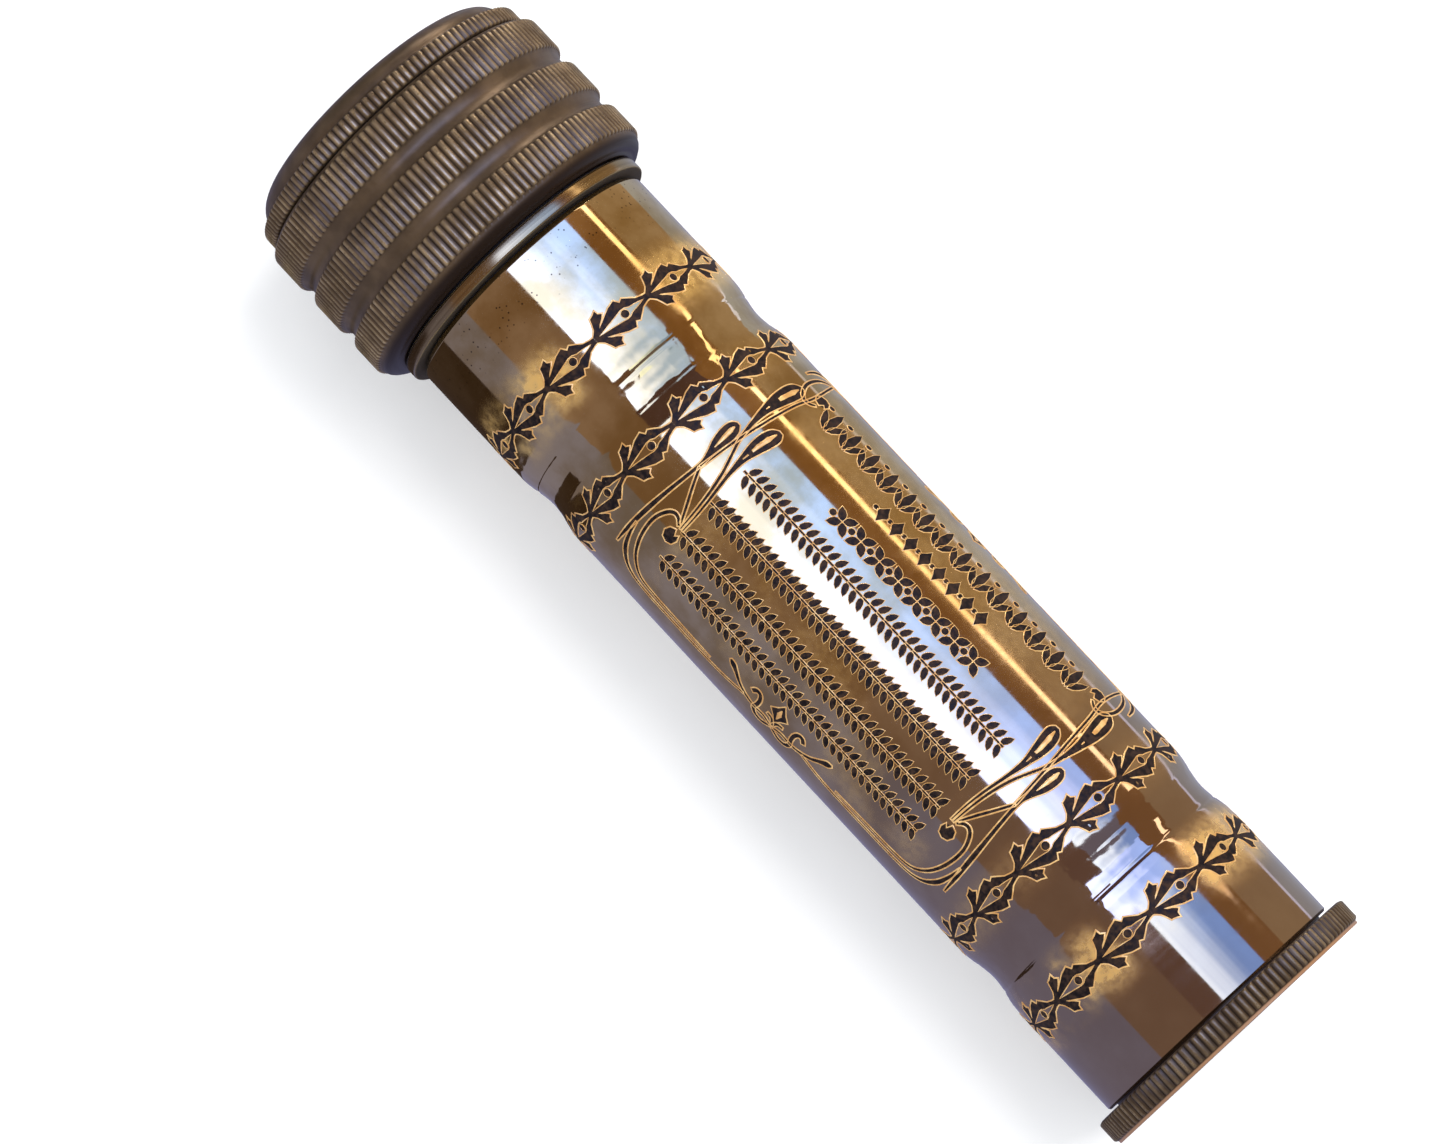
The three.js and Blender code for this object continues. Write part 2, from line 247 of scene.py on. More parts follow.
class Shader:
    """A material's node tree, with short calls for the nodes used here."""

    def __init__(self, name):
        self.material = bpy.data.materials.new(name)
        self.material.use_nodes = True
        self.tree = self.material.node_tree
        self.surface = self.tree.nodes["Principled BSDF"]
        self.place = self.add("ShaderNodeTexCoord").outputs["Object"]

    def add(self, kind, sockets=None, **settings):
        """A new node with these settings, and with these sockets linked or set."""
        node = self.tree.nodes.new(kind)
        for key, value in settings.items():
            setattr(node, key, value)
        for key, value in (sockets or {}).items():
            self.feed(node.inputs[key], value)
        return node

    def feed(self, socket, value):
        """Links a socket, or sets a plain value."""
        if isinstance(value, bpy.types.NodeSocket):
            self.tree.links.new(value, socket)
        elif isinstance(value, tuple) and len(value) == 3 and socket.type == "RGBA":
            socket.default_value = (*value, 1)
        else:
            socket.default_value = value

    def set(self, **inputs):
        """Sets the Principled shader's inputs, written with underscores for spaces."""
        for key, value in inputs.items():
            self.feed(self.surface.inputs[key.replace("_", " ")], value)

    def grained(self, grain, dark, light, smooth, rough, low=0.3, **others):
        """Makes colour and roughness follow a grain."""
        colour = self.blend(self.fit(grain, low, 0.7), dark, light)
        self.set(Base_Color=colour, Roughness=self.fit(grain, 0.3, 0.7, smooth, rough), **others)

    def stretched(self, along, across):
        """Coordinates scaled along the axis and across it."""
        sockets = {"Vector": self.place, "Scale": (along, across, across)}
        return self.add("ShaderNodeMapping", sockets).outputs["Vector"]

    def noise(self, scale, detail, place=None, rough=0.55):
        sockets = {"Vector": place or self.place, "Scale": scale, "Detail": detail, "Roughness": rough}
        return self.add("ShaderNodeTexNoise", sockets).outputs["Fac"]

    def spots(self, scale):
        """Distance to the nearest of some scattered points."""
        sockets = {"Vector": self.place, "Scale": scale}
        return self.add("ShaderNodeTexVoronoi", sockets).outputs["Distance"]

    def fit(self, value, low, high, to_low=0.0, to_high=1.0):
        """Carries a value from one range to another, and holds it there."""
        sockets = {"Value": value, "From Min": low, "From Max": high, "To Min": to_low, "To Max": to_high}
        node = self.add("ShaderNodeMapRange", sockets, interpolation_type="SMOOTHSTEP")
        return node.outputs["Result"]

    def math(self, operation, first, second=0.0):
        node = self.add("ShaderNodeMath", {0: first, 1: second}, operation=operation)
        return node.outputs["Value"]

    def times(self, first, second):
        return self.math("MULTIPLY", first, second)

    def plus(self, first, second):
        return self.math("ADD", first, second)

    def away(self, value, middle):
        """How far a value is from a middle one, either way."""
        return self.math("ABSOLUTE", self.math("SUBTRACT", value, middle))

    def blend(self, share, first, second):
        """Mixes two colours."""
        mix = self.add("ShaderNodeMix", {"Factor": share, 6: first, 7: second}, data_type="RGBA")
        return mix.outputs[2]

    def coordinate(self, axis):
        """The place along one axis of the frame, in metres."""
        return self.add("ShaderNodeSeparateXYZ", {"Vector": self.place}).outputs[axis]

    def near(self, stations, inner, outer):
        """One within a distance of any of these stations, falling to nothing further out."""
        along = self.math("SUBTRACT", self.coordinate("X"), CAD_LOW.x)
        nearest = self.away(along, stations[0] * MM)
        for station in stations[1:]:
            nearest = self.math("MINIMUM", nearest, self.away(along, station * MM))
        return self.fit(nearest, inner * MM, outer * MM, 1.0, 0.0)

    def on_top(self, low, high):
        """Nothing below a height over the axis, rising to one at a greater height."""
        return self.fit(self.coordinate("Z"), AXIS_HEIGHT + low * MM, AXIS_HEIGHT + high * MM)

    def off_middle(self, middle, inner, outer):
        """Nothing along a line down the tube's top, rising to one further round it."""
        return self.fit(self.away(self.coordinate("Y"), middle * MM), inner * MM, outer * MM)

    def far_out(self, inner, outer):
        """Nothing within a radius, rising to one at a greater radius."""
        across = self.math("POWER", self.coordinate("Y"), 2.0)
        up = self.math("POWER", self.math("SUBTRACT", self.coordinate("Z"), AXIS_HEIGHT), 2.0)
        return self.fit(self.math("SQRT", self.plus(across, up)), inner * MM, outer * MM)

    def field(self, name):
        return self.add("ShaderNodeAttribute", attribute_name=name).outputs["Fac"]

    def bump(self, height, strength, distance):
        sockets = {"Strength": strength, "Distance": distance * MM, "Height": height}
        self.set(Normal=self.add("ShaderNodeBump", sockets).outputs["Normal"])


# ---- materials

# The engraved vines: station, and arc of the first berry.
VINES = [(18.65, 7.5), (33.8, 7.5), (105.6, 5.6), (120.5, 5.6)]
VINE_STATIONS = [station for station, arc in VINES]
OUTER_VINES = [VINE_STATIONS[0], VINE_STATIONS[-1]]
PANEL_MIDDLE = 69.75
# Where the tube's polish is pitted, near the head.
PITTED_STATION = 132.0


def golden_bloom_and_sheen(s):
    """How golden and dull the polish is: partly lacquer grown dull, most near the outer vines, in clouds;
    partly a painted gold highlight, full round the tube's sides and faint along its top.
    """
    panel = s.times(s.near([PANEL_MIDDLE], 24, 29), s.on_top(4, 9))
    bloom_and_sheen = s.times(s.math("MAXIMUM", s.near(VINE_STATIONS, 1.0, 5.0), panel), 0.3)
    bloom_and_sheen = s.math("MAXIMUM", bloom_and_sheen, s.near(OUTER_VINES, 1.5, 6.5))
    # Painted highlight: round the tube's sides the gold is full, whatever the clouds.
    far_side = s.times(s.off_middle(9.0, 14.0, 21.0), 0.75)
    bloom_and_sheen = s.times(bloom_and_sheen, s.math("MAXIMUM", s.fit(s.noise(75, 4), 0.4, 0.6), far_side))
    # The painted gold is kept faint along the line down the tube's top.
    bloom_and_sheen = s.times(bloom_and_sheen, s.math("MAXIMUM", s.off_middle(-1.2, 5.0, 8.5), 0.25))
    return s.times(bloom_and_sheen, s.fit(s.noise(900, 4), 0.3, 0.6, 0.6, 1.0))


def polished_brass(s):
    """Lacquered antique brass: mirror bright, mottled, and duller and golden near the engraving, partly
    from dulled lacquer and partly as a painted gold highlight.
    """
    mottle = s.noise(110, 5)
    drawn = s.noise(1, 4, s.stretched(1500, 60))
    bloom_and_sheen = golden_bloom_and_sheen(s)
    tone = s.blend(s.fit(mottle, 0.35, 0.68), (0.53, 0.35, 0.13), (0.78, 0.6, 0.32))
    tone = s.blend(s.times(s.near([EYE_FACE], 28, 85), 0.8), tone, (0.44, 0.33, 0.24))
    # Golden tone near the engraving: part dulled lacquer, part painted gold highlight.
    tone = s.blend(s.times(bloom_and_sheen, 0.85), tone, (0.98, 0.6, 0.17))
    pits = s.fit(s.spots(1300), 0.1, 0.2, 1.0, 0.0)
    pitted = s.times(pits, s.near([PITTED_STATION], 1.5, 5.0))
    pitted = s.times(pitted, s.fit(s.noise(190, 2), 0.4, 0.48))
    s.set(
        Metallic=s.fit(bloom_and_sheen, 0, 1, 1.0, 0.6),
        Base_Color=s.blend(pitted, tone, (0.09, 0.055, 0.03)),
        Roughness=s.plus(s.fit(drawn, 0.3, 0.8, 0.045, 0.1), s.times(bloom_and_sheen, 0.3)),
    )
    uneven = s.math("SUBTRACT", s.noise(160, 2), 0.5)
    in_coves = s.times(s.near([REAR_COVE, FRONT_COVE], 3.0, 7.0), 900.0)
    grain = s.plus(drawn, s.noise(320, 2))
    s.bump(s.plus(grain, s.times(uneven, in_coves)), 0.018, 0.05)


def collar_brass(s):
    """The bush: polished on its collar, and painted near black as shade in the gaps beside it."""
    marks = s.noise(1, 3, s.stretched(2500, 50))
    tone = s.blend(s.fit(marks, 0.3, 0.7), (0.27, 0.18, 0.08), (0.46, 0.33, 0.15))
    # Painted shade: off the collar's face the colour falls to near black and the metal turns dull, for
    # the gaps beside it.
    bright = s.near([(COLLAR_START + COLLAR_END) / 2], 0.7, 0.95)
    s.set(
        Metallic=s.fit(bright, 0, 1, 0.2, 1.0),
        Base_Color=s.blend(bright, (0.01, 0.007, 0.005), tone),
        Roughness=s.fit(bright, 0, 1, 0.8, 0.2),
    )
    s.bump(marks, 0.15, 0.03)


def etched_brass(s):
    """The blackened floor of the engraving."""
    grain = s.noise(1400, 4)
    dark, light = (0.007, 0.004, 0.003), (0.042, 0.022, 0.013)
    s.grained(grain, dark, light, 0.55, 0.75, 0.35, Metallic=0.1, Specular_IOR_Level=0.25)
    s.bump(grain, 0.3, 0.03)


def burnished_brass(s):
    """The bright burr that runs round each engraved shape."""
    dark, light = (0.72, 0.38, 0.12), (1.0, 0.65, 0.26)
    s.grained(s.noise(700, 3), dark, light, 0.28, 0.4, 0.35, Metallic=0.45)


def bronzed_brass(s):
    """Brass darkened to a bronze brown, with dark grooves, rubbed crests and faint turning marks, and
    with painted shade on the barrel's tail by the gap after the collar.
    """
    mottle = s.noise(260, 5)
    marks = s.noise(1, 3, s.stretched(2200, 45))
    worn = s.field("worn")
    hollow = s.blend(s.fit(mottle, 0.35, 0.7), (0.1, 0.066, 0.038), (0.15, 0.1, 0.057))
    crest = s.blend(s.fit(mottle, 0.35, 0.7), (0.26, 0.185, 0.105), (0.5, 0.37, 0.21))
    tone = s.blend(s.fit(worn, 0.0, 0.45), (0.05, 0.034, 0.023), hollow)
    rubbed = s.times(s.fit(worn, 0.6, 1.0), s.fit(s.noise(420, 3), 0.3, 0.7, 0.45, 1.0))
    tone = s.blend(rubbed, tone, crest)
    # A near-black brown: painted shade on the barrel's tail, and a darker tone on the eyepiece cap.
    near_black_brown = (0.03, 0.018, 0.012)
    # The eyepiece cap is darkened four tenths of the way to this near-black brown.
    tone = s.blend(s.times(s.near([CAP_MIDDLE], 3.0, 6.0), 0.4), tone, near_black_brown)
    rim = s.times(s.near([EYE_FACE], 0.3, 0.5), s.far_out(19.7, 20.6))
    tone = s.blend(rim, tone, (0.5, 0.28, 0.15))
    # Painted shade: the barrel's tail, beside the gap after the collar, turns near black.
    tone = s.blend(s.near([TAIL_GAP], 0.6, 1.8), tone, near_black_brown)
    rough = s.fit(marks, 0.25, 0.8, 0.36, 0.46)
    s.set(
        Metallic=0.6,
        Base_Color=tone,
        Roughness=s.math("SUBTRACT", rough, s.fit(rubbed, 0, 1, 0, 0.14)),
        Specular_IOR_Level=0.25,
    )
    s.bump(s.plus(marks, mottle), 0.12, 0.05)


def plain_brass(s):
    """Turned brass, as it left the lathe."""
    marks = s.noise(1, 2, s.stretched(900, 40))
    s.grained(marks, (0.52, 0.37, 0.17), (0.7, 0.53, 0.28), 0.26, 0.36, Metallic=1.0)
    s.bump(marks, 0.06, 0.03)


def mirror_glass(s):
    """Front silvering, a little dusty."""
    dust = s.noise(400, 6)
    s.set(
        Metallic=1.0,
        Base_Color=s.blend(s.fit(dust, 0.55, 0.8), (0.9, 0.92, 0.92), (0.7, 0.71, 0.7)),
        Roughness=s.fit(dust, 0.5, 0.8, 0.02, 0.09),
    )


def window_glass(s, veil, tint):
    """Clear or ground glass, seen through by its alpha. The veil is how milky it is."""
    grain = s.noise(700, 2)
    s.grained(grain, tint, (0.85, 0.88, 0.88), 0.04 + veil * 0.3, 0.08 + veil * 0.6)
    s.set(Alpha=s.fit(grain, 0.25, 0.75, veil * 0.85, veil * 1.15), IOR=1.5)


def coloured_glass(s, colour):
    """Transparent art glass with darker streaks and a polished skin."""
    streak = s.noise(1, 3, s.stretched(260, 520))
    deep = tuple(channel ** 1.6 * 0.5 for channel in colour[:3])
    bright = tuple(channel ** 1.25 for channel in colour[:3])
    s.set(
        Base_Color=s.blend(s.fit(streak, 0.3, 0.75), deep, bright),
        Roughness=s.fit(s.noise(900, 3), 0.3, 0.7, 0.03, 0.1),
        Alpha=s.fit(streak, 0.25, 0.75, 0.95, 0.75),
        IOR=1.52,
        Coat_Weight=0.6,
        Coat_Roughness=0.03,
    )


def matt(s, dark, light, scale, rough):
    """A dull fibrous surface such as card or vulcanised fibre."""
    fibre = s.noise(scale, 6, s.stretched(1, 2.5), 0.7)
    s.grained(fibre, dark, light, rough, rough + 0.08)
    s.bump(fibre, 0.25, 0.04)


# The function that paints each slot of the record, and its values. The rest are coloured glass.
PAINTS = {
    "polished_brass": [polished_brass],
    "bronzed_brass": [bronzed_brass],
    "plain_brass": [plain_brass],
    "mirror_glass": [mirror_glass],
    "clear_glass": [window_glass, 0.02, (0.3, 0.38, 0.36)],
    "frosted_glass": [window_glass, 0.06, (0.4, 0.43, 0.42)],
    "black_card": [matt, (0.012, 0.011, 0.01), (0.04, 0.038, 0.035), 900, 0.85],
    "kraft_card": [matt, (0.3, 0.2, 0.11), (0.5, 0.36, 0.22), 700, 0.8],
    "black_fibre": [matt, (0.02, 0.018, 0.016), (0.06, 0.052, 0.045), 1200, 0.7],
}


def painted(name, paint, *values):
    """A new material, made by one of the functions above."""
    s = Shader(name)
    paint(s, *values)
    return s.material


MATERIALS = {}
for entry in frame["record"]["materials"]:
    paint = PAINTS.get(entry["slot"], [coloured_glass, entry["base_color"]])
    MATERIALS[entry["slot"]] = painted(entry["slot"], *paint)
COLLAR = painted("collar_brass", collar_brass)
ETCHED = painted("etched_brass", etched_brass)
BURNISHED = painted("burnished_brass", burnished_brass)
SLOT_OF_NODE = {part["node"]: part["material_slot"] for part in frame["record"]["subparts"]}


def finish_nodes():
    """Gives every CAD node the material of its slot."""
    for name, node in frame["nodes"].items():
        node.data.materials.clear()
        node.data.materials.append(MATERIALS[SLOT_OF_NODE[name]])


def fitted(piece, node, body):
    """Installs a piece that stands for one CAD node and has that node's finish."""
    slot = SLOT_OF_NODE[node]
    piece.data.materials.append(MATERIALS[slot])
    install(piece, body, slot, node)


# ---- tube


def skin_radius(station):
    """The tube's outer radius, with its two rolled coves and the lines in them."""
    radius = TUBE_RADIUS
    for centre in (REAR_COVE, FRONT_COVE):
        across = (station - centre) / COVE_HALF_WIDTH
        if abs(across) < 1:
            radius -= COVE_DEPTH * math.cos(across * math.pi / 2) ** 2
    for line, depth, half_width in TOOL_LINES:
        radius -= depth * math.exp(-(((station - line) / half_width) ** 2))
    return radius


def skin_stations():
    """Stations along the tube, close together in the coves and closest at the tool lines."""
    plain_step, cove_step, line_step, line_margin = 2.0, 0.25, 0.12, 0.75
    first, last = TUBE_START + 0.5, TUBE_END - 1.0
    stations = [first - 0.2]
    station = first
    while station < last:
        stations.append(station)
        in_cove = min(abs(station - REAR_COVE), abs(station - FRONT_COVE)) < COVE_HALF_WIDTH
        at_line = min(abs(station - line[0]) for line in TOOL_LINES) < line_margin
        station += line_step if at_line else cove_step if in_cove else plain_step
    return [*stations, last, last + 0.16]


def build_tube():
    """The outer brass tube, whose bore follows its rolled coves."""
    shoulder = 0.6
    bore_steps = 24
    outside = [(skin_radius(station), station) for station in skin_stations()]
    inside = []
    for step in range(bore_steps + 1):
        station = TUBE_END + (TUBE_START - TUBE_END) * step / bore_steps
        inside.append((skin_radius(station) - TUBE_RADIUS + TUBE_BORE, station))
    outline = [
        (TUBE_RADIUS - 0.25, TUBE_START),
        *outside,
        (TUBE_RADIUS, TUBE_END - shoulder - 0.12),
        (TUBE_RADIUS - 0.1, TUBE_END - shoulder + 0.1),
        (TUBE_RADIUS - shoulder, TUBE_END),
        *inside,
    ]
    shell = turned("tube_shell", outline, segments=192, sharp_angle=30)
    fitted(shell, "tube", "tube_body")


def build_bush():
    """The bush that the head turns on, with the polished collar as its flange."""
    start, end = ends("head_bush")
    spigot, collar, journal, nose, bore = 17.75, reach("head_bush"), 19.2, 18.2, 16.3
    outline = eased([
        (bore, start, 0.2), (spigot, start, 0.2), (spigot, COLLAR_START),
        (collar, COLLAR_START, 0.3), (collar, COLLAR_END, 0.3), (journal, COLLAR_END),
        (journal, JOURNAL_END, 0.2), (nose, JOURNAL_END), (nose, end, 0.2), (bore, end, 0.2),
    ])
    piece = turned("collar_and_bush", outline, segments=160)
    piece.data.materials.append(COLLAR)
    install(piece, "tube_body", "polished_brass", "head_bush")


# ---- turning head


def rib_land(start, end, radius):
    """A knurled band: its ribs end square, above a smooth root on each side."""
    root = radius - BAND_HEIGHT
    edge, round_off = 0.14, 0.22
    return [
        (root, start - BAND_FOOT), (radius - edge, start), (radius, start + round_off),
        (radius, end - round_off), (radius - edge, end), (root, end + BAND_FOOT),
    ]


def valley(start, end):
    """A smooth hollow between two of the barrel's bands."""
    steps = 10
    points = []
    for step in range(1, steps):
        across = 2 * step / steps - 1
        dip = BAND_HEIGHT + (HEAD_GROOVE - BAND_HEIGHT) * math.cos(across * math.pi / 2)
        points.append((HEAD_RADIUS - dip, start + (end - start) * step / steps))
    return points


def build_barrel():
    """The turning barrel: a swelling tail, then three knurled bands with hollows between."""
    bore, neck, cell, pocket = 19.5, 20.5, 21.1, 20.6
    pocket_end, rear_ease = 149.2, 0.15
    root = HEAD_RADIUS - BAND_HEIGHT
    tail_end = HEAD_LANDS[0][0] - BAND_FOOT
    bands = rib_land(*HEAD_LANDS[0], HEAD_RADIUS)
    for before, land in zip(HEAD_LANDS, HEAD_LANDS[1:]):
        bands += valley(before[1] + BAND_FOOT, land[0] - BAND_FOOT)
        bands += rib_land(*land, HEAD_RADIUS)
    step_radius = BEZEL_RADIUS + 0.05
    outline = [
        (bore, HEAD_START + rear_ease), (bore + rear_ease, HEAD_START),
        (neck - rear_ease, HEAD_START),
        *quarter((neck, HEAD_START + 0.2), (root, tail_end), 7)[:-1], *bands,
        (root - 0.1, HEAD_LANDS[-1][1] + 0.3), (step_radius + 0.1, HEAD_END - 0.12),
        (step_radius - 0.1, HEAD_END), (cell, HEAD_END), (cell, pocket_end),
        (pocket, pocket_end), (pocket, JOURNAL_END), (bore, JOURNAL_END),
    ]
    shell = knurled("head_shell", outline, HEAD_RADIUS, HEAD_RIBS, HEAD_LANDS)
    fitted(shell, "head_barrel", "head")


def build_bezel():
    """The front ring: a knurled band, and a smooth dome of smaller radius in front of it."""
    spigot, bore, face, window = 20.8, 19.8, 17.2, 16.6
    start, end = ends("bezel")
    shoulder, land_end, lip = 161.4, 163.75, 166.1
    dome, dome_start = 20.8, 164.05
    land = (shoulder + BAND_FOOT, land_end)
    outline = [
        (bore, start), (spigot, start), (spigot, shoulder), *rib_land(*land, BEZEL_RADIUS),
        (dome + 0.2, dome_start - 0.1), *quarter((face, end), (dome, dome_start), 14)[::-1],
        (window + 0.15, end), (window, end - 0.15), (window, lip), (bore, lip),
    ]
    ring = knurled("bezel_ring", outline, BEZEL_RADIUS, HEAD_RIBS, [land])
    fitted(ring, "bezel", "head")


def build_cap():
    """The thin eyepiece cap: a boss round the eye hole, a dished face and one knurled band."""
    spigot, spigot_bore, spigot_end = 17.75, 16.5, ends("eyepiece_cap")[1]
    hole, boss, boss_face, rim, field = 5.0, 7.5, 0.35, 20.9, 0.6
    pocket, pocket_wall, pocket_start, pocket_end = 9.3, 11.5, 2.3, 6.0
    land_start, land_end = CAP_LAND
    edge, round_off, back = 0.12, 0.2, 3.75
    root = CAP_RADIUS - RIB_DEPTH - 0.05
    outline = eased([
        (hole, boss_face, 0.3), (boss, boss_face, 0.3),
        (boss + 0.5, field, 0.2), (spigot_bore, field, 0.3),
        (spigot - 0.3, EYE_FACE, 0.2), (rim, EYE_FACE, 0.1), (rim, 0.4), (root, 0.45),
        (CAP_RADIUS - edge, land_start), (CAP_RADIUS, land_start + round_off),
        (CAP_RADIUS, land_end - round_off), (CAP_RADIUS - edge, land_end),
        (root, back - 0.08), (rim - 0.2, back),
        (spigot, back), (spigot, spigot_end, 0.2), (spigot_bore, spigot_end, 0.2),
        (spigot_bore, back), (pocket_wall, back), (pocket_wall, pocket_end),
        (pocket, pocket_end), (pocket, pocket_start), (hole, pocket_start, 0.2),
    ])
    shell = knurled("eyepiece_shell", outline, CAP_RADIUS, CAP_RIBS, [CAP_LAND])
    fitted(shell, "eyepiece_cap", "tube_body")


def build_round(name, node, body, bore=0.0):
    """A fine round disc or ring where a faceted CAD one lies."""
    start, end = ends(node)
    radius, ease = reach(node), 0.12
    if bore:
        corners = [(bore, start, ease), (radius, start, ease), (radius, end, ease), (bore, end, ease)]
    else:
        corners = [(0, start), (radius, start, ease), (radius, end, ease), (0, end)]
    fitted(turned(name, eased(corners), segments=96), node, body)


# ---- loose glass


def build_charge():
    """Each loose piece is its CAD solid with eased, fire-polished edges."""
    for node in frame["record"]["behaviour"]["bodies"]["loose_glass"]:
        mesh = frame["nodes"][node].data.copy()
        mesh.materials.clear()
        work = bmesh.new()
        work.from_mesh(mesh)
        bmesh.ops.remove_doubles(work, verts=work.verts, dist=0.002 * MM)
        is_bead = "bead" in node
        if not is_bead:
            flat = math.radians(2)
            bmesh.ops.dissolve_limit(work, angle_limit=flat, verts=work.verts, edges=work.edges)
        piece = show_mesh(node.replace("glass_", "loose_"), work, mesh)
        edge = piece.modifiers.new("eased_edges", "BEVEL")
        edge.width = (0.02 if is_bead else 0.22) * MM
        edge.segments = 2
        edge.limit_method = "ANGLE"
        skin = piece.modifiers.new("fire_polish", "SUBSURF")
        skin.levels = 1
        skin.render_levels = 1
        fitted(piece, node, "loose_glass")


# ---- engraving: flat drawing

# Heights over the tube's skin, and the least half width of a line.
FILL_TOP, FILL_BOTTOM, CREST = 0.02, -0.06, 0.06
THINNEST = 0.04
# The bright burr beside a shape: (distance out from the shape's edge, height).
BURR = [(-0.04, FILL_BOTTOM), (0.02, CREST), (0.13, CREST), (0.25, FILL_BOTTOM)]
# The bright strip left standing inside a bud.
STRIP = [(-0.38, FILL_BOTTOM), (-0.26, CREST), (0.26, CREST), (0.38, FILL_BOTTOM)]
# Outlines of a leaf one long and one wide, and of a lozenge two wide and two high.
LEAF = [(0.0, 0.0), (0.18, 0.4), (0.45, 0.5), (0.75, 0.36), (1.0, 0.0), (0.75, -0.36),
        (0.45, -0.5), (0.18, -0.4)]
DIAMOND = [(0, 1), (0.44, 0.44), (1, 0), (0.44, -0.44), (0, -1), (-0.44, -0.44), (-1, 0),
           (-0.44, 0.44)]


def curve_through(points, steps):
    """A smooth line through points of any number of values."""
    line = []
    last = len(points) - 1
    for index in range(last):
        p0, p1 = points[max(index - 1, 0)], points[index]
        p2, p3 = points[index + 1], points[min(index + 2, last)]
        for step in range(steps):
            t = step / steps
            line.append(tuple(
                0.5 * (2 * b + (c - a) * t + (2 * a - 5 * b + 4 * c - d) * t * t
                       + (3 * b - a - 3 * c + d) * t ** 3)
                for a, b, c, d in zip(p0, p1, p2, p3)
            ))
    line.append(points[-1])
    return line


def signed_area(outline):
    return sum(x1 * y2 - x2 * y1 for (x1, y1), (x2, y2) in zip(outline, outline[1:] + outline[:1]))


class Drawing:
    """Dark shapes and their bright burrs, drawn on the tube's skin laid out flat."""

    def __init__(self):
        self.fills = bmesh.new()
        self.ridges = []

    def corners(self, points):
        return [self.fills.verts.new((x, y, FILL_BOTTOM)) for x, y in points]

    def fill(self, outline):
        self.fills.faces.new(self.corners(outline))

    def burr(self, outline, scale=1.0, inward=False):
        """A bright ridge round the outside of a closed outline, or round the inside of a hole."""
        if (signed_area(outline) > 0) != inward:
            outline = outline[::-1]
        self.ridge(outline, True, scale, BURR)

    def ridge(self, line, closed, scale, profile):
        self.ridges.append((line, closed, [(across * scale, up) for across, up in profile]))

    def shape(self, outline, scale=1.0):
        """A filled shape with a bright burr."""
        self.fill(outline)
        self.burr(outline, scale)

    def stroke(self, points, steps=4, scale=1.0):
        """A smooth line through (x, y, half width) points, with a bright burr."""
        line = curve_through(points, steps)
        left, right = [], []
        for index, (x, y, half_width) in enumerate(line):
            before, after = line[max(index - 1, 0)], line[min(index + 1, len(line) - 1)]
            run = Vector((after[0] - before[0], after[1] - before[1])).normalized()
            half_width = max(half_width, THINNEST)
            left.append((x - run.y * half_width, y + run.x * half_width))
            right.append((x + run.y * half_width, y - run.x * half_width))
        near, far = self.corners(left), self.corners(right)
        for here in range(len(line) - 1):
            self.fills.faces.new((near[here], near[here + 1], far[here + 1], far[here]))
        self.burr(left + right[::-1], scale)

    def leaf(self, x, y, length, width, angle, scale=0.55):
        """A pointed leaf that grows from (x, y) at an angle in degrees."""
        turn = Matrix.Rotation(math.radians(angle), 2)
        outline = []
        for along, across in LEAF:
            point = turn @ Vector((along * length, across * width))
            outline.append((x + point.x, y + point.y))
        self.shape(outline, scale)

    def dot(self, x, y, radius, corners=8, scale=0.6):
        turns = [2 * math.pi * corner / corners for corner in range(corners)]
        self.shape([(x + radius * math.cos(a), y + radius * math.sin(a)) for a in turns], scale)

    def diamond(self, x, y, half_width, half_height, scale=0.6):
        """A lozenge with hollow sides."""
        self.shape([(x + half_width * across, y + half_height * up) for across, up in DIAMOND], scale)


# ---- engraving: the ornament

VINE_REPEATS = 13
VINE_PITCH = 2 * math.pi * TUBE_RADIUS / VINE_REPEATS

# One vine sprig, as (across, up) from its berry. Its right side runs from the neck above, round
# the toothed shoulder and the three-toothed side leaf, to the neck below. The opening in it holds
# the berry.
SPRIG_SIDE = [
    (0.42, 4.0), (0.46, 3.5), (0.75, 2.5), (1.35, 1.7), (1.85, 1.0), (1.55, 0.45), (2.3, -0.05),
    (2.0, -1.2), (1.45, -2.3), (1.0, -3.2), (0.78, -3.75), (1.15, -3.4), (1.5, -2.8), (2.0, -2.25),
    (2.3, -2.7), (2.9, -2.8), (2.6, -3.35), (2.45, -3.9), (1.75, -4.15), (1.1, -4.45), (0.7, -4.85),
    (0.42, -5.2),
]
SPRIG_OPENING = [
    (0.0, -4.5), (0.22, -3.4), (0.42, -2.2), (0.62, -1.1), (0.8, -0.2), (0.74, 0.45),
    (0.45, 1.0), (0.36, 1.8), (0.18, 2.7), (0.0, 3.3),
]
BERRY_RADIUS = 0.56


def draw_vine(drawing, station, first_berry):
    """A running vine round the tube. first_berry is the arc of one berry."""
    neck = [(0.0, SPRIG_SIDE[-1][1]), *SPRIG_OPENING, (0.0, SPRIG_SIDE[0][1])]
    opening = SPRIG_OPENING + [(-across, up) for across, up in SPRIG_OPENING[-2:0:-1]]
    outer = {1: [], -1: []}
    for repeat in range(VINE_REPEATS):
        arc = first_berry - repeat * VINE_PITCH
        for side in (1, -1):
            outline = [(station + side * across, arc + up) for across, up in SPRIG_SIDE]
            outer[side] += outline[:-1]
            drawing.fill(outline + [(station + side * across, arc + up) for across, up in neck])
        drawing.burr([(station + x, arc + y) for x, y in opening], 0.7, inward=True)
        drawing.dot(station, arc, BERRY_RADIUS, corners=12, scale=0.5)
    for side in (1, -1):
        line = outer[side]
        closing = (line[0][0], line[0][1] - VINE_REPEATS * VINE_PITCH)
        drawing.ridge([*line, closing], False, float(side), BURR)


PANEL_MIDDLE_ARC = 4.8

